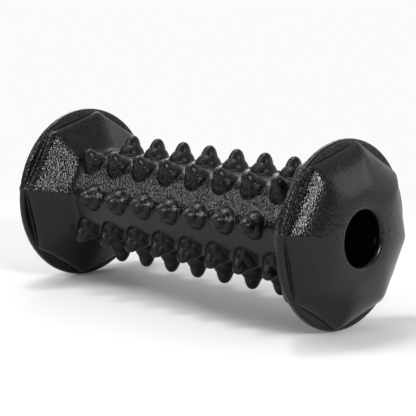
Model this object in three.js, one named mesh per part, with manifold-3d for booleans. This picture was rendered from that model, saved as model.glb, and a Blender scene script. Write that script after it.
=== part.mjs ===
// Foot massage roller: a soft one-piece moulding, with an eight-sided barrel that carries rows of nubs
// between two round flanges, on a rigid core tube with a keyed hub inside each flange.
// Millimetres, +Z up. The roller lies on its rims: its axis runs along X at the height of the rims'
// radius, and the origin is on the floor under its middle.
import * as THREE from 'three';
import { mergeVertices } from 'three/addons/utils/BufferGeometryUtils.js';
import Module from 'manifold-3d';

const wasm = await Module();
wasm.setup();

// Overall sizes
const overallLength = 170;
const rimDiameter = 75;
const sides = 8;               // of the barrel and the crowns, with a row of nubs on each edge of the barrel
const restTurnDegrees = -8.3;  // how far the roller is rolled about its axis, where it lies

// Flange disc
const discThickness = 3;
const rimEdgeRadius = 1.1;
const discToEndFace = 10.8;    // from the middle of the disc out to the end face
const rimSides = 40;           // a flat of the rim is at the bottom, so the roller rests

// Eight-sided crowns on both sides of each disc
const crownInset = 0.9;        // from the rim in to the crown's corners
const outerWall = 0.5;
const outerBevelDepth = 12.5;
const bevelCurveShare = 1.55;  // 1 is a quarter of an ellipse, and 2 a straight bevel
const endFaceCrown = 0.5;      // the end face rises this much towards its flat middle
const endFlatRadius = 20.5;
const innerWall = 2.1;
const shoulderRadius = 4.5;
const slopeDegrees = 55;
const footRadius = 5;
const crownEdgeRadius = 1.4;
const bevelEdgeRadius = 5;
const endEdgeRadius = 12;

// Barrel and nubs
const barrelEdgeHeight = 20.4;   // from the axis to the top of the barrel's rounded edges
const barrelEdgeRadius = 11;
const nubPitch = 15.5;
const nubHeight = 7.7;         // above the barrel's edge
const nubDomeRadius = 3.65;    // at the ledge that parts the dome from its skirt
const nubDomeHeight = 4.3;
const nubDomeShares = [[0, 1], [0.45, 0.82], [0.78, 0.54], [1, 0.15]];  // [of the height, of the radius]
const nubLedge = 0.3;
const nubWaistRadius = 5.6;    // of the round skirt, at the waist's height above the barrel's edge
const nubWaistHeight = 0.7;
const nubFootRadius = 6.1;     // of the skirt, as far below the barrel's edge as the foot's depth
const nubFootDepth = 2.3;
const nubSides = 8;            // facets round a nub
const nubReachShare = 0.1;     // of a pitch: a row's last nub may stand this far into the crown's foot

// Bore, core tube and hubs
const boreDiameter = 22;
const lipRadius = 1.8;
const lipLength = 3.6;         // the soft lip that covers each end of the tube
const tubeWall = 3;
const tubeChamfer = 0.6;
const keyWidth = 5;
const keyDepth = 1.6;
const keyCount = 2;
const hubDiscRadius = 27;
const hubDiscThickness = 3.6;
const hubCollarRadius = 18;
const hubCollarLength = 12;
const hubWindowCount = 6;
const hubWindowWall = 1.3;     // left of the hub's disc inside and outside each window
const roundSides = 24;         // facets round the tube, the bore and the hubs
const windowSides = 8;
const fitClearance = 0.3;      // between neighbouring pieces
const cutOverrun = 2;

// Values that follow from the sizes
const turn = THREE.MathUtils.degToRad(restTurnDegrees);
const cornerAngle = 2 * Math.PI / sides;
const rimRadius = rimDiameter / 2;
const endX = overallLength / 2;
const discX = endX - discToEndFace;
const discInnerX = discX - discThickness / 2;
const discOuterX = discX + discThickness / 2;
const crownFlat = flatDistance(rimRadius - crownInset);
const barrelFlat = flatDistance(barrelEdgeHeight - barrelEdgeRadius) + barrelEdgeRadius;
const boreRadius = boreDiameter / 2;
const tubeRadius = boreRadius + tubeWall;
const tubeEndX = endX - lipLength - fitClearance;
const hubWindowRadius = (hubDiscRadius - hubCollarRadius) / 2 - hubWindowWall;

// From the distance of a corner to the distance of a flat of the same even polygon
function flatDistance(cornerDistance) {
  return cornerDistance * Math.cos(cornerAngle / 2);
}

// Joining and cutting

function solidOf(geometry) {
  const bare = geometry.clone();
  bare.deleteAttribute('normal');
  bare.deleteAttribute('uv');
  const merged = mergeVertices(bare);
  return new wasm.Manifold(new wasm.Mesh({
    numProp: 3,
    vertProperties: new Float32Array(merged.attributes.position.array),
    triVerts: new Uint32Array(merged.index.array),
  }));
}

function geometryOf(solid) {
  const mesh = solid.getMesh();
  const geometry = new THREE.BufferGeometry();
  geometry.setAttribute('position', new THREE.BufferAttribute(mesh.vertProperties, 3));
  geometry.setIndex(new THREE.BufferAttribute(mesh.triVerts, 1));
  geometry.computeVertexNormals();
  return geometry;
}

// Shared shapes

// Points of an arc, as distances along X and out from the axis, both ends included
function arcPoints(centreX, centreOut, alongRadius, outRadius, from, to, steps) {
  const points = [];
  for (let i = 0; i <= steps; i += 1) {
    const angle = from + (to - from) * i / steps;
    points.push([centreX + alongRadius * Math.sin(angle), centreOut + outRadius * Math.cos(angle)]);
  }
  return points;
}

// A solid turned about the roller's axis, from a closed outline or one that starts and ends on the axis.
// The outline's points are [along X, out from the axis], counted so that the material is on its left.
function turnedAboutAxis(outline, segments, start = 0) {
  const points = outline.map(([along, out]) => new THREE.Vector2(out, along));
  return new THREE.LatheGeometry(points, segments, start, 2 * Math.PI).rotateZ(-Math.PI / 2);
}

function turnedCylinder(fromX, toX, radius, segments) {
  return turnedAboutAxis([[fromX, 0], [fromX, radius], [toX, radius], [toX, 0]], segments);
}

// Puts a copy of a shape at each of a number of even turns about the roller's axis
function turnedCopies(geometry, count, start = 0) {
  const copies = [];
  for (let i = 0; i < count; i += 1) {
    copies.push(geometry.clone().rotateX(start + 2 * Math.PI * i / count));
  }
  return copies;
}

// Points of a convex bevel that leaves a wall of a given radius square to it and ends on a face across X
function bevelPoints(fromX, fromOut, run, depth, steps) {
  const points = [];
  for (let i = 0; i <= steps; i += 1) {
    const angle = Math.PI / 2 * i / steps;
    const along = Math.sin(angle) ** bevelCurveShare;
    const inward = 1 - Math.cos(angle) ** bevelCurveShare;
    points.push([fromX + run * along, fromOut - depth * inward]);
  }
  return points;
}

// Eight-sided ring at a place along X, with rounded corners: the first corner is at the top
function ringPoints({ x, flat, edge }) {
  const cornerSteps = 3;
  const arcCentre = (flat - edge) / Math.cos(cornerAngle / 2);
  const points = [];
  for (let corner = 0; corner < sides; corner += 1) {
    const middle = corner * cornerAngle;
    for (let i = 0; i < cornerSteps; i += 1) {
      const angle = middle + cornerAngle * ((i + 1 / 2) / cornerSteps - 1 / 2);
      const up = arcCentre * Math.cos(middle) + edge * Math.cos(angle);
      const forward = arcCentre * Math.sin(middle) + edge * Math.sin(angle);
      points.push(new THREE.Vector3(x, -forward, up));
    }
  }
  return points;
}

// A closed skin through rings of equally many points, with a flat cap on the first and the last
function loft(rings) {
  const count = rings[0].length;
  const positions = rings.flat().flatMap((point) => point.toArray());
  const index = [];
  for (let ring = 0; ring + 1 < rings.length; ring += 1) {
    for (let i = 0; i < count; i += 1) {
      const a = ring * count + i;
      const b = ring * count + (i + 1) % count;
      index.push(a, b, a + count, b, b + count, a + count);
    }
  }
  const last = (rings.length - 1) * count;
  for (let i = 1; i + 1 < count; i += 1) {
    index.push(0, i + 1, i, last, last + i, last + i + 1);
  }
  const geometry = new THREE.BufferGeometry();
  geometry.setAttribute('position', new THREE.Float32BufferAttribute(positions, 3));
  geometry.setIndex(index);
  return geometry;
}

// Soft body

// Stations of the right-hand half, from the end of the straight barrel out to the end face.
// Each one has its place along X, the distance of its flats and the rounding of its corners.
function crownStations() {
  const slope = THREE.MathUtils.degToRad(slopeDegrees);
  const shoulderX = discInnerX - innerWall;
  const shoulderEndOut = crownFlat - shoulderRadius * (1 - Math.cos(slope));
  const footEndOut = barrelFlat + footRadius * (1 - Math.cos(slope));
  const slopeRun = (shoulderEndOut - footEndOut) / Math.tan(slope);
  const footX = shoulderX - (shoulderRadius + footRadius) * Math.sin(slope) - slopeRun;
  const bevelX = discOuterX + outerWall;
  const bevelRun = endX - endFaceCrown - bevelX;
  const footOut = barrelFlat + footRadius;
  const foot = arcPoints(footX, footOut, footRadius, footRadius, Math.PI, Math.PI - slope, 4);
  const shoulderOut = crownFlat - shoulderRadius;
  const shoulder = arcPoints(shoulderX, shoulderOut, shoulderRadius, shoulderRadius, -slope, 0, 3);
  const bevel = bevelPoints(bevelX, crownFlat, bevelRun, outerBevelDepth, 5);
  const rounding = (points, first, last) => {
    const steps = points.length - 1;
    return points.map(([x, flat], i) => ({ x, flat, edge: THREE.MathUtils.lerp(first, last, i / steps) }));
  };
  return [
    ...rounding(foot, barrelEdgeRadius, crownEdgeRadius),
    ...rounding(shoulder, crownEdgeRadius, crownEdgeRadius),
    ...rounding(bevel, crownEdgeRadius, bevelEdgeRadius),
    { x: endX, flat: endFlatRadius, edge: endEdgeRadius },
  ];
}

function mirrored(stations) {
  return stations.map((station) => ({ ...station, x: -station.x })).reverse();
}

// Round disc of a flange, with rounded rim edges. A flat of its rim is at the bottom once it lies.
function flangeDisc(middleX) {
  const half = discThickness / 2;
  const edgeIn = rimRadius - rimEdgeRadius;
  const edgeX = half - rimEdgeRadius;
  const step = 2 * Math.PI / rimSides;
  const outline = [
    [-half, 0],
    ...arcPoints(-edgeX, edgeIn, rimEdgeRadius, rimEdgeRadius, -Math.PI / 2, 0, 2),
    ...arcPoints(edgeX, edgeIn, rimEdgeRadius, rimEdgeRadius, 0, Math.PI / 2, 2),
    [half, 0],
  ];
  const overFlats = outline.map(([along, out]) => [middleX + along, out / Math.cos(step / 2)]);
  return turnedAboutAxis(overFlats, rimSides, step / 2 - turn);
}

// Ring of a nub at a height above the barrel's edge
function nubRing(height, radius) {
  const points = [];
  for (let i = 0; i < nubSides; i += 1) {
    const angle = 2 * Math.PI * i / nubSides;
    points.push(new THREE.Vector3(radius * Math.cos(angle), radius * Math.sin(angle), height));
  }
  return points;
}

// One nub, standing along +Z on the barrel's edge: a bullet-shaped dome on a wider round skirt
function nubShape() {
  const ledgeHeight = nubHeight - nubDomeHeight;
  const dome = nubDomeShares.map(([up, out]) => {
    return nubRing(ledgeHeight + nubDomeHeight * up, nubDomeRadius * out);
  });
  return loft([
    nubRing(-nubFootDepth, nubFootRadius),
    nubRing(nubWaistHeight, nubWaistRadius),
    nubRing(ledgeHeight, nubDomeRadius + nubLedge),
    ...dome,
  ]);
}

// Places of a row's nubs along X: even rows have one in the middle, odd rows sit half a pitch across
function nubPlaces(row, reach) {
  const places = [];
  for (let x = row % 2 === 0 ? 0 : nubPitch / 2; x <= reach; x += nubPitch) {
    places.push(x);
    if (x > 0) {
      places.push(-x);
    }
  }
  return places;
}

function nubs(barrelEndX) {
  const nub = nubShape();
  const reach = barrelEndX + nubPitch * nubReachShare;
  const placed = [];
  turnedCopies(nub, sides).forEach((turned, row) => {
    const lift = new THREE.Vector3(0, -Math.sin(row * cornerAngle), Math.cos(row * cornerAngle));
    lift.multiplyScalar(barrelEdgeHeight);
    for (const x of nubPlaces(row, reach)) {
      placed.push(turned.clone().translate(x, lift.y, lift.z));
    }
  });
  return placed;
}

// What is cut away for the bore, with the rounded lips at its two mouths
function boreCutter() {
  const lipOut = boreRadius + lipRadius;
  const mouth = arcPoints(endX - lipRadius, lipOut, lipRadius, lipRadius, Math.PI, Math.PI / 2, 3);
  const right = [...mouth, [endX + cutOverrun, lipOut], [endX + cutOverrun, 0]];
  const left = right.map(([along, out]) => [-along, out]).reverse();
  return turnedAboutAxis([...left, ...right], roundSides);
}

function rollerBody() {
  const stations = crownStations();
  const spine = loft([...mirrored(stations), ...stations].map(ringPoints));
  let body = solidOf(spine).add(solidOf(flangeDisc(-discX))).add(solidOf(flangeDisc(discX)));
  for (const nub of nubs(stations[0].x)) {
    body = body.add(solidOf(nub));
  }
  const tubeSpace = turnedCylinder(
    -tubeEndX - fitClearance,
    tubeEndX + fitClearance,
    tubeRadius + fitClearance,
    roundSides,
  );
  return body
    .subtract(solidOf(boreCutter()))
    .subtract(solidOf(tubeSpace))
    .subtract(hubSpace(-1))
    .subtract(hubSpace(1));
}

// Core tube

// Straight key along X, standing on a radius, for the hub's keys and the tube's grooves
function keyBlocks(fromX, toX, innerRadius, outerRadius, width) {
  const block = new THREE.BoxGeometry(toX - fromX, width, outerRadius - innerRadius);
  block.translate((fromX + toX) / 2, 0, (innerRadius + outerRadius) / 2);
  return turnedCopies(block, keyCount, cornerAngle / 2);
}

function coreTube() {
  const outline = [
    [-tubeEndX, boreRadius + tubeChamfer],
    [-tubeEndX, tubeRadius - tubeChamfer],
    [-tubeEndX + tubeChamfer, tubeRadius],
    [tubeEndX - tubeChamfer, tubeRadius],
    [tubeEndX, tubeRadius - tubeChamfer],
    [tubeEndX, boreRadius + tubeChamfer],
    [tubeEndX - tubeChamfer, boreRadius],
    [-tubeEndX + tubeChamfer, boreRadius],
    [-tubeEndX, boreRadius + tubeChamfer],
  ];
  let tube = solidOf(turnedAboutAxis(outline, roundSides));
  const grooveStart = discX - hubCollarLength / 2 - fitClearance;
  const grooveEnd = tubeEndX + cutOverrun;
  const grooveFloor = tubeRadius - keyDepth;
  const grooves = [
    ...keyBlocks(grooveStart, grooveEnd, grooveFloor, tubeRadius + cutOverrun, keyWidth),
    ...keyBlocks(-grooveEnd, -grooveStart, grooveFloor, tubeRadius + cutOverrun, keyWidth),
  ];
  for (const groove of grooves) {
    tube = tube.subtract(solidOf(groove));
  }
  return tube;
}

// Hubs

// Disc and collar of a hub on one side, -1 or 1, grown on every face by a clearance
function hubBlank(side, grow) {
  const middle = side * discX;
  const disc = hubDiscThickness / 2 + grow;
  const collar = hubCollarLength / 2 + grow;
  const outline = [
    [middle - collar, 0],
    [middle - collar, hubCollarRadius + grow],
    [middle - disc, hubCollarRadius + grow],
    [middle - disc, hubDiscRadius + grow],
    [middle + disc, hubDiscRadius + grow],
    [middle + disc, hubCollarRadius + grow],
    [middle + collar, hubCollarRadius + grow],
    [middle + collar, 0],
  ];
  return solidOf(turnedAboutAxis(outline, roundSides));
}

// Round windows through the hub's disc, which the soft moulding fills
function hubWindows(side, radius) {
  const pin = turnedCylinder(
    side * discX - hubDiscThickness / 2 - cutOverrun,
    side * discX + hubDiscThickness / 2 + cutOverrun,
    radius,
    windowSides,
  );
  pin.translate(0, 0, (hubCollarRadius + hubDiscRadius) / 2);
  return turnedCopies(pin, hubWindowCount).map(solidOf);
}

function withWindows(blank, side, radius) {
  return hubWindows(side, radius).reduce((hub, window) => hub.subtract(window), blank);
}

// The space that a hub takes up in the soft body
function hubSpace(side) {
  return withWindows(hubBlank(side, fitClearance), side, hubWindowRadius - fitClearance);
}

function hub(side) {
  const collar = hubCollarLength / 2;
  const seat = turnedCylinder(
    side * discX - collar - cutOverrun,
    side * discX + collar + cutOverrun,
    tubeRadius + fitClearance,
    roundSides,
  );
  let piece = withWindows(hubBlank(side, 0), side, hubWindowRadius).subtract(solidOf(seat));
  const keys = keyBlocks(
    side * discX - collar,
    side * discX + collar,
    tubeRadius - keyDepth + fitClearance,
    tubeRadius + tubeWall / 2,
    keyWidth - 2 * fitClearance,
  );
  for (const key of keys) {
    piece = piece.add(solidOf(key));
  }
  return piece;
}

// Materials

const softBlack = new THREE.MeshStandardMaterial({ color: 0x2b2c2d, roughness: 0.42, metalness: 0 });
const tubeBlack = new THREE.MeshStandardMaterial({ color: 0x161617, roughness: 0.5, metalness: 0 });
const hubBlack = new THREE.MeshStandardMaterial({ color: 0x202124, roughness: 0.55, metalness: 0 });

// Assembly

function piece(name, solid, material) {
  const mesh = new THREE.Mesh(geometryOf(solid), material);
  mesh.name = name;
  return mesh;
}

const roller = new THREE.Group();
roller.add(
  piece('roller_body', rollerBody(), softBlack),
  piece('core_tube', coreTube(), tubeBlack),
  piece('left_hub', hub(-1), hubBlack),
  piece('right_hub', hub(1), hubBlack),
);
roller.rotation.x = turn;
roller.position.z = rimRadius;

const part = new THREE.Group();
part.add(roller);

export default part;
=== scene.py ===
# Foot massage roller, dressed for the studio: a soft black moulding with nubs on an eight-sided barrel,
# between two round flanges with faceted crowns, lying on a white floor.
import math

import bpy
import numpy as np
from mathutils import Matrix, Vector


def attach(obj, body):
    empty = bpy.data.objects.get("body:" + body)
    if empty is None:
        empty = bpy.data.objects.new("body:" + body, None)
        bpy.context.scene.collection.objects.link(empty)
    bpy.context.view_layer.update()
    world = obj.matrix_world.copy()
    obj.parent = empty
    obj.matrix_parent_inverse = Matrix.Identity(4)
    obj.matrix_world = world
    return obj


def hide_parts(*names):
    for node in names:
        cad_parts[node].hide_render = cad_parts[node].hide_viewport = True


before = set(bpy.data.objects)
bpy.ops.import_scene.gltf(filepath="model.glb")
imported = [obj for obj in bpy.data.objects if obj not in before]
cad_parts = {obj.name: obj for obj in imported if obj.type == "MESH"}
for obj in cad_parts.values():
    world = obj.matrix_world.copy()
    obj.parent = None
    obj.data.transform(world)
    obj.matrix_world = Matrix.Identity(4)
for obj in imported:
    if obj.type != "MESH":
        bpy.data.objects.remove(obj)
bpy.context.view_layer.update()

MM = 0.001

# Sizes of the moulding, in millimetres
SIDES = 8                    # of the barrel and the crowns
REST_TURN = math.radians(-8.3)
AXIS_HEIGHT = 37.5
END_X = 85.0
END_SLACK = 0.01             # a point this near to the end face lies on it
BORE_RADIUS = 11.0
LIP_RADIUS = 1.8
LIP_LENGTH = 3.6
TUBE_WALL = 3.0
TUBE_GAP = 0.3
TUBE_CHAMFER = 0.6
RIM_RADIUS = 37.5
RIM_EDGE = 1.1
DISC_X = 74.2                # the middle of a flange's disc
DISC_HALF = 1.5
CROWN_CORNER = 36.6
CROWN_EDGE = 1.4
SLOPE_EDGE = 7.0             # rounds the corners where the inner slope starts
INNER_WALL = 0.9
SHOULDER_RADIUS = 4.0
SLOPE = math.radians(55)
FOOT_RADIUS = 5.0
OUTER_WALL = 0.5
BEVEL_POWER = 1.2            # 1 is a quarter of an ellipse, and 2 a straight bevel
END_FLAT = 14.5              # from the axis to the eight flats that the bevel ends in
END_EDGE = 13.5
MOUTH_SHARES = (0.4, 0.8)    # of the way from the bevel's end to the bore's lip
BARREL_EDGE_HEIGHT = 20.4    # from the axis to the top of the barrel's rounded edges
BARREL_EDGE = 11.0

# The crease between a crown's wall and its disc: its radius, and the most it takes of the wall and the disc
CREASE_RADIUS = 0.7
CREASE_WALL_SHARE = 0.7
CREASE_DISC_SHARE = 0.5

# The thin flash where the mould's halves meet, on the corners that lie about as high as the axis
PARTING_CORNERS = (2, 6)
PARTING_RISE = 0.22
PARTING_WIDTH = 0.28

# Sizes of a nub, in millimetres, with heights above the barrel's edge
NUB_PITCH = 15.5
NUB_DOME_RADIUS = 3.65
NUB_DOME_HEIGHT = 4.65
NUB_DOME_HANDLE = 2.2        # how far the dome's curve holds its first and last direction
NUB_DOME_TAPER = 0.3         # how far it leans inwards at its base, for each millimetre up
NUB_LEDGE = 0.18
NUB_LEDGE_HEIGHT = 2.85
NUB_LEDGE_EDGE_SHARE = 0.2   # of the ledge, taken by its rounded edges
NUB_LEDGE_RISES = (0.08, 0.1)
NUB_WAIST = (5.6, 1.2)       # radius and height of the point that the skirt's curve bends towards
NUB_FOOT = (5.6, -1.3)       # radius and height of its lower end
NUB_FILLET = 0.6
NUB_TOE_SINK = 0.015         # the fillet's outer edge lies this far under the barrel's skin
NUB_SINK = 0.6
NUB_SKIRT_SHARES = (0.2, 0.4, 0.6, 0.8, 0.93)
NUBS_IN_LONG_ROW = 8

# How finely the curves are cut
CORNER_STEPS = 8
FLAT_STEPS = 8
BARREL_STEPS = 3
FOOT_STEPS = 10
SHOULDER_STEPS = 10
CREASE_STEPS = 5
DISC_STEPS = 15
BEVEL_STEPS = 28
LIP_STEPS = 10
NUB_SIDES = 32
NUB_FILLET_STEPS = 6
NUB_SKIRT_POINTS = 40
NUB_DOME_RINGS = 12
NUB_DOME_START_SHARE = 0.07
NUB_FOOT_ROUNDS = 15         # of the search for the line where a skirt meets the barrel

CORNER_ANGLE = 2 * math.pi / SIDES
CROWN_FLAT = CROWN_CORNER * math.cos(CORNER_ANGLE / 2)
BARREL_FLAT = (BARREL_EDGE_HEIGHT - BARREL_EDGE) * math.cos(CORNER_ANGLE / 2) + BARREL_EDGE

# Inputs of the geometry nodes that stand the nubs on the barrel, in metres and radians
NUB_ROW_SIZES = {
    "Rows": SIDES,
    "Nubs in a long row": NUBS_IN_LONG_ROW,
    "Pitch": NUB_PITCH * MM,
    "Barrel radius": BARREL_EDGE_HEIGHT * MM,
    "Axis height": AXIS_HEIGHT * MM,
    "Rest turn": REST_TURN,
}
ON_PLANE = 0.1               # a row whose turn has a smaller cosine lies on the parting plane

# Camera, in millimetres and radians
CAMERA_PLACE = (436.1, -451.2, 150.7)
CAMERA_YAW = math.radians(43.86)
CAMERA_PITCH = math.radians(10.09)
CAMERA_LENS = 131.87
CAMERA_SENSOR = 36
CAMERA_REACH = (0.05, 60)    # nearest and farthest distance seen, in metres

# Lamps: place, size and power, in metres and watts. All look at one point near the roller's middle
LAMP_AIM = (0, 0, 0.04)
LAMPS = {
    "overhead_softbox": ((-0.22, 0.02, 1.02), (0.18, 0.18), 3.1),
    "right_softbox": ((0.86, -0.27, 0.46), (0.22, 0.26), 6.8),
    "front_strip": ((0.0, -0.8, 0.36), (0.10, 0.66), 1.6),
    "left_softbox": ((-0.55, -0.50, 0.60), (0.18, 0.32), 1.5),
    "top_softbox": ((-0.28, -0.26, 0.93), (0.30, 0.30), 1.9),
    "window": ((-0.70, 0.55, 0.54), (0.5, 0.5), 1.8),
    "rear_panel": ((0.80, 0.76, 0.34), (0.5, 0.5), 1.3),
}

# The room is brightest behind the roller, a little to the left, and dim on the camera's side
BRIGHT_WAY = (-0.35, 0.85, 0.40)
BRIGHT_SPAN = (-0.4, 0.9)    # cosines to that way between which the room goes from dim to bright
ROOM_GLOW = (0.06, 0.85)

# The floor is plain paper, and away from the roller and its shadow the camera sees plain white
FLOOR_HALF = 8               # metres
FLOOR_PAPER = (0.73, 0.73, 0.725, 1)
FLOOR_WHITE = (0.96, 0.96, 0.952, 1)
FLOOR_FADE = (0.13, 0.36)    # metres from the middle

# Colours of the rubber and the two plastics, and the refractive index of all three
RUBBER_BLACK = (0.0032, 0.0032, 0.0033)
# The core tube's black is darker than the hub's: partly its real black, partly painted shade that keeps the
# deep bore black
TUBE_BLACK_WITH_BORE_SHADE = (0.0006, 0.0006, 0.0006)
HUB_BLACK = (0.003, 0.003, 0.003)
SURFACE_IOR = 1.5

# Finishes of the rubber: rise of the grain in millimetres, its middle level, gloss, the share by which
# the grain changes the gloss, roughness, and how far the roughness swings with the slow waves
FINISHES = {
    "black_rubber_grained": (0.15, 0.80, 0.29, 0.75, 0.25, 0.03),
    "black_rubber_polished": (0.12, 0.90, 0.29, 0.90, 0.36, 0.03),
    "black_rubber_skirts": (0.12, 0.72, 0.23, 0.55, 0.40, 0.03),
    "black_rubber_smooth": (0.02, 0.72, 0.29, 0.15, 0.33, 0.02),
}

# The leather grain, in millimetres where it is a size
GRAIN_STRETCH = (1, 1, 0.75)
BARREL_CELL = 0.95
FLANGE_CELL = 0.75
CELL_CHANGE = (55, 60)       # along X, between the barrel's cells and the flanges'
CELL_SMOOTHNESS = 0.3
FINE_GRAIN = 0.6
FINE_GRAIN_DETAIL = 1
FINE_GRAIN_SHARE = 0.5
POLISH_SPAN = (-0.25, 0.25)  # depths of the grain between which the gloss goes from polished to dull

# Shares of the grain that are left: round the roller, by the sine of the angle above the parting plane,
# and towards the end faces, by the place along X
PARTING_SPAN = (-0.015, 0.015)
LOWER_HALF_SHARES = (0.12, 1)
TOP_SPAN = (0.6, 0.8)
TOP_SHARES = (1, 0.45)
END_SPAN = (77, 85.5)
END_SHARES = (1, 0.4)

# Slow waves in the soft moulding, in millimetres
WAVE_SIZE = 14
WAVE_RISE = 0.15
WAVE_DETAIL = 2
WAVE_SPAN = (0.3, 0.7)       # noise levels that give the lowest and the highest roughness

# The plastics' fine skin, in millimetres
SPECK_SIZE = 0.4
SPECK_RISE = 0.02
SPECK_DETAIL = 2
SPECK_SWING = 0.08
PLASTIC_ROUGHNESS = 0.6
# The core tube's gloss is kept very low as painted shade, so the bore's walls show almost no reflection
TUBE_GLOSS_WITH_BORE_SHADE = 0.015
HUB_GLOSS = 0.1


# Nodes

def add_node(tree, kind, given, **settings):
    """A node with its settings, and with values or other nodes' outputs on its inputs."""
    node = tree.nodes.new(kind)
    for name, value in settings.items():
        setattr(node, name, value)
    for socket, value in given.items():
        if isinstance(value, bpy.types.NodeSocket):
            tree.links.new(value, node.inputs[socket])
        else:
            node.inputs[socket].default_value = value
    return node


def calculate(tree, operation, *values):
    """The result of one step of arithmetic on values or other nodes' outputs."""
    return add_node(tree, "ShaderNodeMath", dict(enumerate(values)), operation=operation).outputs[0]


def vector_step(tree, operation, *values):
    """A step of vector arithmetic, whose result is at the output Vector or Value."""
    return add_node(tree, "ShaderNodeVectorMath", dict(enumerate(values)), operation=operation).outputs


def map_range(tree, value, source, target, shape="LINEAR"):
    """A value of the source range turned into one of the target range, and held at its ends."""
    given = {
        "Value": value,
        "From Min": source[0],
        "From Max": source[1],
        "To Min": target[0],
        "To Max": target[1],
    }
    return add_node(tree, "ShaderNodeMapRange", given, interpolation_type=shape).outputs["Result"]


# Studio

def make_camera():
    data = bpy.data.cameras.new("camera")
    data.sensor_width = CAMERA_SENSOR
    data.lens = CAMERA_LENS
    data.clip_start, data.clip_end = CAMERA_REACH
    camera = bpy.data.objects.new("camera", data)
    camera.location = Vector(CAMERA_PLACE) * MM
    ahead = Vector((
        -math.sin(CAMERA_YAW) * math.cos(CAMERA_PITCH),
        math.cos(CAMERA_YAW) * math.cos(CAMERA_PITCH),
        -math.sin(CAMERA_PITCH),
    ))
    camera.rotation_euler = ahead.to_track_quat("-Z", "Y").to_euler()
    bpy.context.scene.collection.objects.link(camera)
    bpy.context.scene.camera = camera


def make_lamp(name, place, size, power):
    data = bpy.data.lights.new(name, "AREA")
    data.shape = "RECTANGLE"
    data.size, data.size_y = size
    data.energy = power
    lamp = bpy.data.objects.new(name, data)
    lamp.location = place
    lamp.rotation_euler = (Vector(LAMP_AIM) - Vector(place)).to_track_quat("-Z", "Y").to_euler()
    bpy.context.scene.collection.objects.link(lamp)


def make_world():
    world = bpy.data.worlds.new("studio")
    bpy.context.scene.world = world
    world.use_nodes = True
    tree = world.node_tree
    tree.nodes.clear()
    way = tree.nodes.new("ShaderNodeTexCoord").outputs["Generated"]
    towards = vector_step(tree, "DOT_PRODUCT", way, Vector(BRIGHT_WAY).normalized())["Value"]
    glow = map_range(tree, towards, BRIGHT_SPAN, ROOM_GLOW)
    room = add_node(tree, "ShaderNodeBackground", {"Color": (1, 1, 1, 1), "Strength": glow})
    add_node(tree, "ShaderNodeOutputWorld", {"Surface": room.outputs[0]})


def make_floor():
    half = FLOOR_HALF
    corners = [(-half, -half, 0), (half, -half, 0), (half, half, 0), (-half, half, 0)]
    mesh = bpy.data.meshes.new("floor")
    mesh.from_pydata(corners, [], [(0, 1, 2, 3)])
    floor = bpy.data.objects.new("floor", mesh)
    bpy.context.scene.collection.objects.link(floor)
    material = bpy.data.materials.new("studio_white")
    material.use_nodes = True
    tree = material.node_tree
    tree.nodes.clear()
    place = tree.nodes.new("ShaderNodeTexCoord").outputs["Object"]
    reach = vector_step(tree, "LENGTH", place)["Value"]
    far = map_range(tree, reach, FLOOR_FADE, (0, 1), "SMOOTHSTEP")
    seen = tree.nodes.new("ShaderNodeLightPath").outputs["Is Camera Ray"]
    paper = add_node(tree, "ShaderNodeBsdfDiffuse", {"Color": FLOOR_PAPER}).outputs[0]
    white = add_node(tree, "ShaderNodeEmission", {"Color": FLOOR_WHITE}).outputs[0]
    share = calculate(tree, "MULTIPLY", seen, far)
    mixed = add_node(tree, "ShaderNodeMixShader", {"Fac": share, 1: paper, 2: white})
    add_node(tree, "ShaderNodeOutputMaterial", {"Surface": mixed.outputs[0]})
    mesh.materials.append(material)


# Materials

def new_material(name, color, roughness, gloss):
    material = bpy.data.materials.new(name)
    material.use_nodes = True
    shader = material.node_tree.nodes["Principled BSDF"]
    shader.inputs["Base Color"].default_value = (*color, 1)
    shader.inputs["Roughness"].default_value = roughness
    shader.inputs["IOR"].default_value = SURFACE_IOR
    shader.inputs["Specular IOR Level"].default_value = gloss
    return material, shader


def noise(tree, place, size, detail):
    """A noise whose lumps are about as large as the size, in millimetres."""
    given = {"Vector": place, "Scale": 1 / (size * MM), "Detail": detail}
    return add_node(tree, "ShaderNodeTexNoise", given).outputs["Fac"]


def bumped_normal(tree, height, rise, normal=None, invert=False):
    """The surface's direction after a bump of so many millimetres, on top of an earlier one if given."""
    given = {"Height": height, "Strength": 1, "Distance": rise * MM}
    if normal is not None:
        given["Normal"] = normal
    return add_node(tree, "ShaderNodeBump", given, invert=invert).outputs["Normal"]


def leather_grain(tree, place, aside):
    """Small upright cells with soft valleys, larger on the barrel than on the flanges, and a finer noise."""
    upright = vector_step(tree, "MULTIPLY", place, GRAIN_STRETCH)["Vector"]
    distances = []
    for size in (BARREL_CELL, FLANGE_CELL):
        given = {"Vector": upright, "Scale": 1 / (size * MM), "Smoothness": CELL_SMOOTHNESS}
        cells = add_node(tree, "ShaderNodeTexVoronoi", given, feature="SMOOTH_F1")
        distances.append(cells.outputs["Distance"])
    on_flange = map_range(tree, aside, [x * MM for x in CELL_CHANGE], (0, 1))
    cells = add_node(tree, "ShaderNodeMix", {0: on_flange, 2: distances[0], 3: distances[1]}).outputs[0]
    fine = noise(tree, upright, FINE_GRAIN, FINE_GRAIN_DETAIL)
    return calculate(tree, "MULTIPLY_ADD", fine, FINE_GRAIN_SHARE, cells)


def grain_shares(tree, place, aside):
    """How much of the grain is left: little below the parting plane, less on top and on the end faces."""
    arm = vector_step(tree, "MULTIPLY_ADD", place, (0, 1, 1), (0, 0, -AXIS_HEIGHT * MM))["Vector"]
    unit = vector_step(tree, "NORMALIZE", arm)["Vector"]
    up = (0, -math.sin(REST_TURN), math.cos(REST_TURN))
    above = vector_step(tree, "DOT_PRODUCT", unit, up)["Value"]
    return (
        map_range(tree, above, PARTING_SPAN, LOWER_HALF_SHARES, "SMOOTHSTEP"),
        map_range(tree, above, TOP_SPAN, TOP_SHARES, "SMOOTHSTEP"),
        map_range(tree, aside, [x * MM for x in END_SPAN], END_SHARES, "SMOOTHSTEP"),
    )


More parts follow.
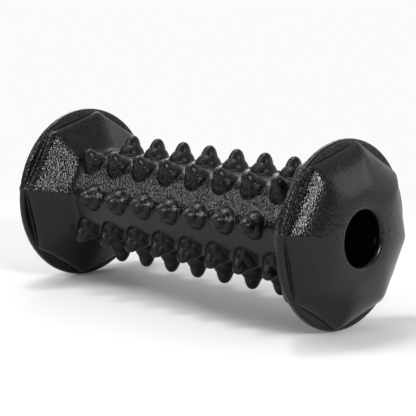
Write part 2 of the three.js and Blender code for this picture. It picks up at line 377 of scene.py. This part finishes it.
def moulded_rubber(name, grain_rise, grain_level, gloss, polish_share, roughness, roughness_swing):
    """Soft black rubber. The mould's upper half leaves a leather grain and its lower half a smooth skin."""
    material, shader = new_material(name, RUBBER_BLACK, roughness, gloss)
    tree = material.node_tree
    place = tree.nodes.new("ShaderNodeTexCoord").outputs["Object"]
    along = add_node(tree, "ShaderNodeSeparateXYZ", {0: place}).outputs["X"]
    aside = calculate(tree, "ABSOLUTE", along)
    depth = calculate(tree, "SUBTRACT", leather_grain(tree, place, aside), grain_level)
    for share in grain_shares(tree, place, aside):
        depth = calculate(tree, "MULTIPLY", depth, share)
    waves = noise(tree, place, WAVE_SIZE, WAVE_DETAIL)
    slow = bumped_normal(tree, waves, WAVE_RISE)
    normal = bumped_normal(tree, depth, grain_rise, normal=slow, invert=True)
    # The tops of the grain are polished and its valleys dull
    polish = (gloss * (1 + polish_share), gloss * (1 - polish_share))
    shine = map_range(tree, depth, POLISH_SPAN, polish)
    swing = map_range(tree, waves, WAVE_SPAN, (roughness - roughness_swing, roughness + roughness_swing))
    tree.links.new(normal, shader.inputs["Normal"])
    tree.links.new(shine, shader.inputs["Specular IOR Level"])
    tree.links.new(swing, shader.inputs["Roughness"])
    return material


def matte_plastic(name, color, gloss):
    """Hard black plastic with a fine spark-eroded skin."""
    material, shader = new_material(name, color, PLASTIC_ROUGHNESS, gloss)
    tree = material.node_tree
    place = tree.nodes.new("ShaderNodeTexCoord").outputs["Object"]
    specks = noise(tree, place, SPECK_SIZE, SPECK_DETAIL)
    swing = (PLASTIC_ROUGHNESS - SPECK_SWING, PLASTIC_ROUGHNESS + SPECK_SWING)
    tree.links.new(bumped_normal(tree, specks, SPECK_RISE), shader.inputs["Normal"])
    tree.links.new(map_range(tree, specks, (0, 1), swing), shader.inputs["Roughness"])
    return material


# Curves and rings

def bend(start, corner, end, t):
    """The point at a share t of a curve that leaves start towards a corner and arrives at end from it."""
    return start * (1 - t) ** 2 + corner * 2 * t * (1 - t) + end * t ** 2


def arc(centre_x, centre_out, radius, start, stop, steps):
    """Points of an arc as (x, distance from the axis); angle 0 points straight out."""
    angles = [start + (stop - start) * i / steps for i in range(steps + 1)]
    return [(centre_x + radius * math.sin(a), centre_out + radius * math.cos(a)) for a in angles]


def eight_sided_ring(x, flat, edge):
    """Points of an eight-sided ring with rounded corners at a place along X; corner 0 is at the top."""
    centre = (flat - edge) / math.cos(CORNER_ANGLE / 2)

    def corner_point(middle, angle):
        return (
            centre * math.sin(middle) + edge * math.sin(angle),
            centre * math.cos(middle) + edge * math.cos(angle),
        )

    points = []
    for corner in range(SIDES):
        middle = corner * CORNER_ANGLE
        angles = [middle + CORNER_ANGLE * (i / CORNER_STEPS - 1 / 2) for i in range(CORNER_STEPS + 1)]
        points += [corner_point(middle, angle) for angle in angles]
        following = middle + CORNER_ANGLE
        first = np.array(points[-1])
        last = np.array(corner_point(following, following - CORNER_ANGLE / 2))
        points += [tuple(first + (last - first) * i / FLAT_STEPS) for i in range(1, FLAT_STEPS)]
    front_up = np.array(points)
    return np.column_stack([np.full(len(front_up), x), front_up])


def round_ring(x, radius):
    """A round ring whose points lie in the same directions as those of the bevel's end."""
    ring = eight_sided_ring(x, END_FLAT, END_EDGE)
    across = ring[:, 1:]
    ring[:, 1:] = across * radius / np.linalg.norm(across, axis=1, keepdims=True)
    return ring


# Moulding

def disc_half_at(radius):
    """Half the thickness of a flange disc at a distance from the axis, with its rounded rim."""
    over = np.clip(radius - (RIM_RADIUS - RIM_EDGE), 0, RIM_EDGE)
    return DISC_HALF - RIM_EDGE + np.sqrt(np.maximum(RIM_EDGE ** 2 - over ** 2, 0))


def disc_rings(crease, side):
    """Rings of one side of a flange disc, from the crown's crease out to the rim."""
    across = crease[:, 1:]
    start = np.linalg.norm(across, axis=1, keepdims=True)
    outward = across / start
    rings = []
    for share in np.sin(np.linspace(0, math.pi / 2, DISC_STEPS + 1)):
        radius = start + (RIM_RADIUS - start) * share
        x = DISC_X + side * disc_half_at(radius)
        rings.append(np.column_stack([x[:, 0], outward * radius]))
    return rings


def rim_ring(crease):
    """The ring round the middle of the rim."""
    across = crease[:, 1:]
    outward = across / np.linalg.norm(across, axis=1, keepdims=True)
    return np.column_stack([np.full(len(across), DISC_X), outward * RIM_RADIUS])


def crease_rings(side, wall):
    """A crown's short wall down to its rounded crease with the disc."""
    foot = eight_sided_ring(0, CROWN_FLAT, CROWN_EDGE)
    radius = np.linalg.norm(foot[:, 1:], axis=1)
    foot[:, 0] = DISC_X + side * disc_half_at(radius)
    ledge = (RIM_RADIUS - radius)[:, None]
    spread = np.minimum(min(CREASE_RADIUS, wall * CREASE_WALL_SHARE), ledge * CREASE_DISC_SHARE)
    outward = foot[:, 1:] / radius[:, None]
    ledge_point = foot.copy()
    ledge_point[:, 1:] += outward * spread
    ledge_radius = np.linalg.norm(ledge_point[:, 1:], axis=1)
    ledge_point[:, 0] = DISC_X + side * disc_half_at(ledge_radius)
    wall_point = foot.copy()
    wall_point[:, 0] += side * spread[:, 0]
    return [bend(wall_point, foot, ledge_point, t) for t in np.linspace(0, 1, CREASE_STEPS + 1)]


def barrel_rings():
    """Rings of the right half of the barrel and of the slope up to the inner crown's shoulder."""
    foot_end = BARREL_FLAT + FOOT_RADIUS * (1 - math.cos(SLOPE))
    shoulder_x = DISC_X - DISC_HALF - INNER_WALL
    shoulder_end = CROWN_FLAT - SHOULDER_RADIUS * (1 - math.cos(SLOPE))
    slope_run = (shoulder_end - foot_end) / math.tan(SLOPE)
    foot_x = shoulder_x - (SHOULDER_RADIUS + FOOT_RADIUS) * math.sin(SLOPE) - slope_run
    foot = arc(foot_x, BARREL_FLAT + FOOT_RADIUS, FOOT_RADIUS, math.pi, math.pi - SLOPE, FOOT_STEPS)
    shoulder = arc(shoulder_x, CROWN_FLAT - SHOULDER_RADIUS, SHOULDER_RADIUS, -SLOPE, 0, SHOULDER_STEPS)
    barrel = [(foot_x * i / BARREL_STEPS, BARREL_FLAT) for i in range(BARREL_STEPS)]
    rings = [eight_sided_ring(x, flat, BARREL_EDGE) for x, flat in barrel + foot]
    for i, (x, flat) in enumerate(shoulder):
        edge = SLOPE_EDGE + (CROWN_EDGE - SLOPE_EDGE) * i / SHOULDER_STEPS
        rings.append(eight_sided_ring(x, flat, edge))
    return rings


def flange_rings():
    """Rings of the right flange, from the inner crown's wall over the rim to the outer crown's wall."""
    inner = crease_rings(-1, INNER_WALL)
    outer = crease_rings(1, OUTER_WALL)[::-1]
    inner_disc = disc_rings(inner[-1], -1)[1:]
    outer_disc = disc_rings(outer[0], 1)[:0:-1]
    return inner + inner_disc + [rim_ring(inner[-1])] + outer_disc + outer


def end_rings():
    """Rings of the outer bevel, of the lip round the bore and of the step in front of the tube."""
    bevel_x = DISC_X + DISC_HALF + OUTER_WALL
    bevel_run = END_X - bevel_x
    bevel_depth = CROWN_FLAT - END_FLAT
    rings = []
    for i, a in enumerate(np.linspace(0, math.pi / 2, BEVEL_STEPS + 1)):
        x = bevel_x + bevel_run * math.sin(a) ** BEVEL_POWER
        flat = CROWN_FLAT - bevel_depth * (1 - math.cos(a) ** BEVEL_POWER)
        edge = CROWN_EDGE + (END_EDGE - CROWN_EDGE) * i / BEVEL_STEPS
        rings.append(eight_sided_ring(x, flat, edge))
    face = rings[-1]
    mouth = round_ring(END_X, BORE_RADIUS + LIP_RADIUS)
    rings += [face * (1 - t) + mouth * t for t in MOUTH_SHARES]
    lip = arc(END_X - LIP_RADIUS, BORE_RADIUS + LIP_RADIUS, LIP_RADIUS, math.pi / 2, math.pi, LIP_STEPS)
    step = [(END_X - LIP_LENGTH, BORE_RADIUS), (END_X - LIP_LENGTH, BORE_RADIUS + TUBE_WALL + TUBE_GAP)]
    return rings + [round_ring(x, out) for x, out in lip + step]


def raise_parting_line(rings):
    """A thin flash along two opposite corners of the flanges, where the mould's halves meet."""
    for ring in rings:
        across = ring[:, 1:]
        radius = np.linalg.norm(across, axis=1)
        for corner in PARTING_CORNERS:
            direction = np.array((math.sin(corner * CORNER_ANGLE), math.cos(corner * CORNER_ANGLE)))
            aside = across @ np.array((direction[1], -direction[0]))
            ahead = across @ direction > 0
            outside = (np.abs(ring[:, 0]) < END_X - END_SLACK) & (radius > BARREL_FLAT)
            rise = PARTING_RISE * np.exp(-(aside / PARTING_WIDTH) ** 2) * ahead * outside
            ring[:, 1:] += across / radius[:, None] * rise[:, None]


def place_on_floor(points):
    """From the roller's own frame (x, front, up), lying unturned, to the row frame in metres."""
    x, front, up = points[:, 0], points[:, 1], points[:, 2]
    cos, sin = math.cos(REST_TURN), math.sin(REST_TURN)
    y = -front
    return np.column_stack([x, y * cos - up * sin, y * sin + up * cos + AXIS_HEIGHT]) * MM


def skin_mesh(name, rings):
    """Quads through rings of equally many points, and from the last ring back to the first."""
    count = len(rings[0])
    points = place_on_floor(np.concatenate(rings))
    faces = []
    for ring in range(len(rings)):
        after = (ring + 1) % len(rings)
        for i in range(count):
            j = (i + 1) % count
            faces.append((ring * count + i, ring * count + j, after * count + j, after * count + i))
    mesh = bpy.data.meshes.new(name)
    mesh.from_pydata(points.tolist(), [], faces)
    mesh.polygons.foreach_set("use_smooth", [True] * len(mesh.polygons))
    mesh.update()
    return mesh


def add_piece(mesh):
    """An object of the mesh's own name that rides on the roller's one body."""
    piece = bpy.data.objects.new(mesh.name, mesh)
    bpy.context.scene.collection.objects.link(piece)
    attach(piece, "root")
    return piece


def soft_moulding(material):
    right = barrel_rings() + flange_rings() + end_rings()
    raise_parting_line(right)
    left = [ring * np.array((-1, 1, 1)) for ring in right[1:]]
    mesh = skin_mesh("moulding", left[::-1] + right)
    mesh.materials.append(material)
    piece = add_piece(mesh)
    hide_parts("roller_body")


# Nubs

def barrel_drop(across):
    """How far the barrel's skin lies below the top of its rounded edge, at a distance across from it."""
    half = CORNER_ANGLE / 2
    near = np.minimum(np.abs(across), BARREL_EDGE * math.sin(half))
    fall = BARREL_EDGE - np.sqrt(BARREL_EDGE ** 2 - near ** 2)
    return fall + (np.abs(across) - near) * math.tan(half)


def skirt_radius(height):
    """Radius of the round skirt at a height: a curve that bends at the waist."""
    share = np.linspace(0, 1, NUB_SKIRT_POINTS)[:, None]
    ledge = np.array((NUB_DOME_RADIUS + NUB_LEDGE, NUB_LEDGE_HEIGHT))
    line = bend(ledge, np.array(NUB_WAIST), np.array(NUB_FOOT), share)
    return np.interp(-height, -line[:, 1], line[:, 0])


def dome_points():
    """Radius and height over the ledge of the dome's rings, on a curve up to its tip."""
    base = np.array((NUB_DOME_RADIUS, 0.0))
    base_handle = base + np.array((-NUB_DOME_TAPER, 1)) * NUB_DOME_HANDLE
    tip = np.array((0.0, NUB_DOME_HEIGHT))
    tip_handle = tip + np.array((NUB_DOME_HANDLE, 0))
    points = []
    for t in np.linspace(NUB_DOME_START_SHARE, 1, NUB_DOME_RINGS + 1)[:-1]:
        lower = base * (1 - t) ** 3 + base_handle * 3 * t * (1 - t) ** 2
        points.append(lower + tip_handle * 3 * t ** 2 * (1 - t) + tip * t ** 3)
    return points


def nub_rings():
    """Rings of a nub from its sunk base up, and the number of the first ring of its dome."""
    turn = np.arange(NUB_SIDES) * 2 * math.pi / NUB_SIDES
    outward = np.column_stack([np.cos(turn), np.sin(turn)])

    def ring(radius, height):
        level = np.broadcast_to(height, NUB_SIDES)
        return np.column_stack([outward * np.reshape(radius, (-1, 1)), level])

    # The line where the skirt meets the barrel's skin, found by coming nearer to it in rounds
    foot = np.zeros(NUB_SIDES)
    for _ in range(NUB_FOOT_ROUNDS):
        foot = -barrel_drop(skirt_radius(foot) * outward[:, 1])
    foot_radius = skirt_radius(foot)
    toe_radius = foot_radius + NUB_FILLET
    toe = ring(toe_radius, -barrel_drop(toe_radius * outward[:, 1]) - NUB_TOE_SINK)
    corner = ring(foot_radius, foot)
    top = foot + NUB_FILLET
    upper = ring(skirt_radius(top), top)
    rings = [toe - np.array((0, 0, NUB_SINK))]
    rings += [bend(toe, corner, upper, t) for t in np.linspace(0, 1, NUB_FILLET_STEPS + 1)]
    for t in NUB_SKIRT_SHARES:
        height = top * (1 - t) + NUB_LEDGE_HEIGHT * t
        rings.append(ring(skirt_radius(height), height))
    ledge = NUB_DOME_RADIUS + NUB_LEDGE
    edge = NUB_LEDGE * NUB_LEDGE_EDGE_SHARE
    rings.append(ring(ledge, NUB_LEDGE_HEIGHT))
    rings.append(ring(ledge - edge, NUB_LEDGE_HEIGHT + NUB_LEDGE_RISES[0]))
    rings.append(ring(NUB_DOME_RADIUS + edge, NUB_LEDGE_HEIGHT + NUB_LEDGE_RISES[1]))
    first_dome = len(rings) - 1
    rings += [ring(radius, NUB_LEDGE_HEIGHT + up) for radius, up in dome_points()]
    return rings, first_dome


def nub_mesh():
    """One nub standing along +Z on the barrel's edge, closed below: a fillet that follows the barrel's
    skin, a wide round skirt, a thin ledge and a bullet-shaped dome."""
    rings, first_dome = nub_rings()
    tip = np.array([[0, 0, NUB_LEDGE_HEIGHT + NUB_DOME_HEIGHT]])
    points = np.concatenate(rings + [tip]) * MM
    faces = [tuple(range(NUB_SIDES - 1, -1, -1))]
    on_dome = [False]
    for level in range(len(rings) - 1):
        low, high = level * NUB_SIDES, (level + 1) * NUB_SIDES
        for i in range(NUB_SIDES):
            j = (i + 1) % NUB_SIDES
            faces.append((low + i, low + j, high + j, high + i))
            on_dome.append(level >= first_dome)
    last = (len(rings) - 1) * NUB_SIDES
    for i in range(NUB_SIDES):
        faces.append((last + i, last + (i + 1) % NUB_SIDES, len(points) - 1))
        on_dome.append(True)
    mesh = bpy.data.meshes.new("nub")
    mesh.from_pydata(points.tolist(), [], faces)
    mesh.polygons.foreach_set("use_smooth", [True] * len(faces))
    dome = mesh.attributes.new("dome", "BOOLEAN", "FACE")
    dome.data.foreach_set("value", on_dome)
    mesh.update()
    return mesh


def row_points(tree, given):
    """Points for the nubs of the eight rows, each with the turn of its row about the axis. Every other
    row is short by one nub and moved by half a pitch."""
    long_row = given["Nubs in a long row"]
    index = tree.nodes.new("GeometryNodeInputIndex").outputs[0]
    row = calculate(tree, "FLOOR", calculate(tree, "DIVIDE", index, long_row))
    place = calculate(tree, "SUBTRACT", index, calculate(tree, "MULTIPLY", row, long_row))
    short = calculate(tree, "SUBTRACT", 1, calculate(tree, "MODULO", row, 2))
    middle = calculate(tree, "DIVIDE", calculate(tree, "SUBTRACT", long_row, 1), 2)
    from_middle = calculate(tree, "SUBTRACT", place, middle)
    step = calculate(tree, "SUBTRACT", from_middle, calculate(tree, "DIVIDE", short, 2))
    row_turn = calculate(tree, "MULTIPLY", row, calculate(tree, "DIVIDE", 2 * math.pi, given["Rows"]))
    turn = calculate(tree, "ADD", row_turn, given["Rest turn"])
    x = calculate(tree, "MULTIPLY", step, given["Pitch"])
    back = calculate(tree, "MULTIPLY", calculate(tree, "SINE", turn), given["Barrel radius"])
    y = calculate(tree, "MULTIPLY", back, -1)
    lift = calculate(tree, "MULTIPLY", calculate(tree, "COSINE", turn), given["Barrel radius"])
    z = calculate(tree, "ADD", lift, given["Axis height"])
    where = add_node(tree, "ShaderNodeCombineXYZ", {"X": x, "Y": y, "Z": z}).outputs[0]
    count = calculate(tree, "MULTIPLY", given["Rows"], long_row)
    points = add_node(tree, "GeometryNodePoints", {"Count": count, "Position": where}).outputs[0]
    turned = add_node(
        tree,
        "GeometryNodeStoreNamedAttribute",
        {"Geometry": points, "Name": "turn", "Value": turn},
        data_type="FLOAT",
        domain="POINT",
    )
    is_first = calculate(tree, "LESS_THAN", place, 1)
    spare = calculate(tree, "MULTIPLY", short, is_first)
    kept = {"Geometry": turned.outputs[0], "Selection": spare}
    return add_node(tree, "GeometryNodeDeleteGeometry", kept, domain="POINT").outputs[0]


def read_attribute(tree, name, data_type):
    given = {"Name": name}
    return add_node(tree, "GeometryNodeInputNamedAttribute", given, data_type=data_type).outputs["Attribute"]


def nub_tree(nub, full_grain, skirt, smooth):
    """Geometry nodes that stand a nub at each place of the staggered rows and dress its faces."""
    tree = bpy.data.node_groups.new("nub_rows", "GeometryNodeTree")
    for way in ("OUTPUT", "INPUT"):
        tree.interface.new_socket("Geometry", in_out=way, socket_type="NodeSocketGeometry")
    for name, size in NUB_ROW_SIZES.items():
        kind = "NodeSocketInt" if isinstance(size, int) else "NodeSocketFloat"
        tree.interface.new_socket(name, in_out="INPUT", socket_type=kind)
    given = tree.nodes.new("NodeGroupInput").outputs
    turn = read_attribute(tree, "turn", "FLOAT")
    rotation = add_node(tree, "ShaderNodeCombineXYZ", {"X": turn}).outputs[0]
    source = add_node(tree, "GeometryNodeObjectInfo", {"Object": nub}).outputs["Geometry"]
    standing = {"Points": row_points(tree, given), "Instance": source, "Rotation": rotation}
    stand = add_node(tree, "GeometryNodeInstanceOnPoints", standing).outputs[0]
    dressed = add_node(tree, "GeometryNodeRealizeInstances", {0: stand}).outputs[0]
    # Only the two rows on the parting plane keep the mould's full grain, and the other rows have calmer
    # skirts and smooth domes
    row_turn = calculate(tree, "SUBTRACT", turn, given["Rest turn"])
    from_plane = calculate(tree, "ABSOLUTE", calculate(tree, "COSINE", row_turn))
    off_plane = calculate(tree, "GREATER_THAN", from_plane, ON_PLANE)
    smooth_domes = calculate(tree, "MULTIPLY", read_attribute(tree, "dome", "BOOLEAN"), off_plane)
    for material, chosen in ((full_grain, True), (skirt, off_plane), (smooth, smooth_domes)):
        dress = {"Geometry": dressed, "Material": material, "Selection": chosen}
        dressed = add_node(tree, "GeometryNodeSetMaterial", dress).outputs[0]
    add_node(tree, "NodeGroupOutput", {0: dressed})
    return tree


def nub_rows(full_grain, skirt, smooth):
    nub = bpy.data.objects.new("one_nub", nub_mesh())
    bpy.context.scene.collection.objects.link(nub)
    carrier = bpy.data.objects.new("nub_carrier", bpy.data.meshes.new("nub_carrier"))
    bpy.context.scene.collection.objects.link(carrier)
    modifier = carrier.modifiers.new("nub_rows", "NODES")
    modifier.node_group = nub_tree(nub, full_grain, skirt, smooth)
    for item in modifier.node_group.interface.items_tree:
        if item.name in NUB_ROW_SIZES:
            modifier[item.identifier] = NUB_ROW_SIZES[item.name]
    bpy.context.view_layer.update()
    evaluated = carrier.evaluated_get(bpy.context.evaluated_depsgraph_get())
    mesh = bpy.data.meshes.new_from_object(evaluated)
    bpy.data.objects.remove(carrier)
    bpy.data.objects.remove(nub)
    mesh.name = "nubs"
    add_piece(mesh)


# Inner pieces

def core_tube(material):
    """The rigid tube that forms the bore, finer round than its solid. Its plastic is darker and duller than
    the hub's: painted shade that keeps the deep bore black.
    """
    half = END_X - LIP_LENGTH - TUBE_GAP
    inner, outer = BORE_RADIUS, BORE_RADIUS + TUBE_WALL
    outline = [
        (-half, inner + TUBE_CHAMFER),
        (-half, outer - TUBE_CHAMFER),
        (-half + TUBE_CHAMFER, outer),
        (half - TUBE_CHAMFER, outer),
        (half, outer - TUBE_CHAMFER),
        (half, inner + TUBE_CHAMFER),
        (half - TUBE_CHAMFER, inner),
        (-half + TUBE_CHAMFER, inner),
    ]
    mesh = skin_mesh("core_tube_round", [round_ring(x, out) for x, out in outline])
    mesh.materials.append(material)
    piece = add_piece(mesh)
    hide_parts("core_tube")


def dress_hubs(material):
    """The two hubs stay as they come from model.glb and get their finish."""
    for node in ("left_hub", "right_hub"):
        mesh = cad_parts[node].data
        mesh.materials.clear()
        mesh.materials.append(material)


make_camera()
make_world()
make_floor()
for name, (place, size, power) in LAMPS.items():
    make_lamp(name, place, size, power)

grained, polished, skirt, smooth = (moulded_rubber(name, *finish) for name, finish in FINISHES.items())
soft_moulding(grained)
nub_rows(polished, skirt, smooth)
# The core tube's plastic carries painted shade: darker and duller than the hub's, so the bore stays black
core_tube(matte_plastic("black_core_plastic", TUBE_BLACK_WITH_BORE_SHADE, TUBE_GLOSS_WITH_BORE_SHADE))
dress_hubs(matte_plastic("black_hub_plastic", HUB_BLACK, HUB_GLOSS))

scene = bpy.context.scene
scene.view_settings.view_transform = "Standard"
